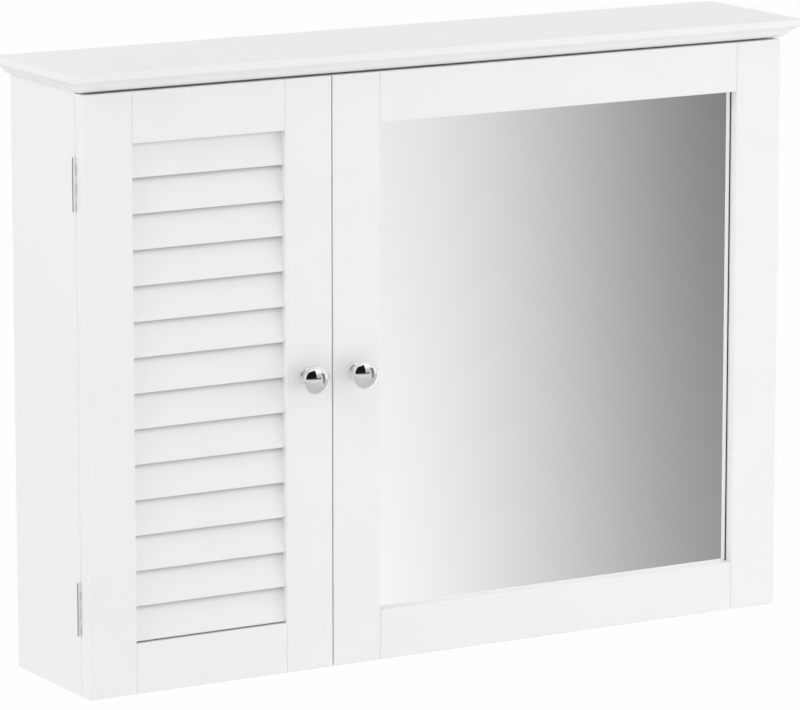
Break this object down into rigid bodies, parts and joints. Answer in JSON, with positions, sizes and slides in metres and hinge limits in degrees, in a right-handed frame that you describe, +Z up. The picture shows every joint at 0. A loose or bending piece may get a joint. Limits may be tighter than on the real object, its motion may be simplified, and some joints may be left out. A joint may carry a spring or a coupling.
{
  "type": "bathroom mirror cabinet",
  "caption": "Wall-hung bathroom cabinet with a louvred door beside a mirror door under a moulded cornice; both doors swing open on butt hinges to shelved bays.",
  "frame": {"origin": "midway between the two wall holes, on the wall plane", "axes": "+X to the viewer's right, +Y into the wall, +Z up; the doors face -Y"},
  "size_m": [0.68, 0.1504, 0.5],
  "materials": {
    "white_lacquer": "satin white lacquer on fibreboard",
    "hardboard": "hardboard, one face painted white",
    "beech": "bare beech",
    "mirror": "silvered float glass",
    "chrome": "polished plating",
    "zinc_steel": "zinc plated",
    "catch_plastic": "moulded"
  },
  "bodies": {
    "cabinet": {"left_side_panel": "white_lacquer", "right_side_panel": "white_lacquer", "bottom_panel": "white_lacquer", "cornice_top": "white_lacquer", "back_panel": "hardboard", "hanging_rail": "white_lacquer", "centre_partition": "white_lacquer", "left_upper_shelf": "white_lacquer", "left_lower_shelf": "white_lacquer", "right_upper_shelf": "white_lacquer", "right_lower_shelf": "white_lacquer", "shelf_pins": "zinc_steel", "carcass_dowels": "beech", "cam_bolts": "zinc_steel", "cam_locks": "zinc_steel", "magnet_catches": "catch_plastic", "left_upper_frame_leaf": "chrome", "left_lower_frame_leaf": "chrome", "right_upper_frame_leaf": "chrome", "right_lower_frame_leaf": "chrome", "hinge_pins": "chrome", "carcass_screws": "zinc_steel"},
    "louvre_door": {"louvre_door_left_stile": "white_lacquer", "louvre_door_right_stile": "white_lacquer", "louvre_door_top_rail": "white_lacquer", "louvre_door_bottom_rail": "white_lacquer", "louvre_slat_01": "white_lacquer", "louvre_slat_02": "white_lacquer", "louvre_slat_03": "white_lacquer", "louvre_slat_04": "white_lacquer", "louvre_slat_05": "white_lacquer", "louvre_slat_06": "white_lacquer", "louvre_slat_07": "white_lacquer", "louvre_slat_08": "white_lacquer", "louvre_slat_09": "white_lacquer", "louvre_slat_10": "white_lacquer", "louvre_slat_11": "white_lacquer", "louvre_slat_12": "white_lacquer", "louvre_slat_13": "white_lacquer", "louvre_slat_14": "white_lacquer", "louvre_door_upper_leaf": "chrome", "louvre_door_lower_leaf": "chrome", "louvre_door_screws": "zinc_steel", "louvre_door_knob": "chrome", "louvre_door_knob_screw": "zinc_steel", "louvre_door_strike_plate": "zinc_steel"},
    "mirror_door": {"mirror_door_left_stile": "white_lacquer", "mirror_door_right_stile": "white_lacquer", "mirror_door_top_rail": "white_lacquer", "mirror_door_bottom_rail": "white_lacquer", "mirror_glass": "mirror", "mirror_backing": "hardboard", "mirror_clips": "zinc_steel", "mirror_door_upper_leaf": "chrome", "mirror_door_lower_leaf": "chrome", "mirror_door_screws": "zinc_steel", "mirror_door_knob": "chrome", "mirror_door_knob_screw": "zinc_steel", "mirror_door_strike_plate": "zinc_steel"}
  },
  "joints": [
    {"name": "louvre_door_hinge", "type": "hinge", "parent": "cabinet", "child": "louvre_door", "pos_m": [-0.3268, -0.1135, -0.213], "axis": [0, 0, -1], "range_deg": [0, 180]},
    {"name": "mirror_door_hinge", "type": "hinge", "parent": "cabinet", "child": "mirror_door", "pos_m": [0.3268, -0.1135, -0.213], "axis": [0, 0, 1], "range_deg": [0, 180]}
  ]
}
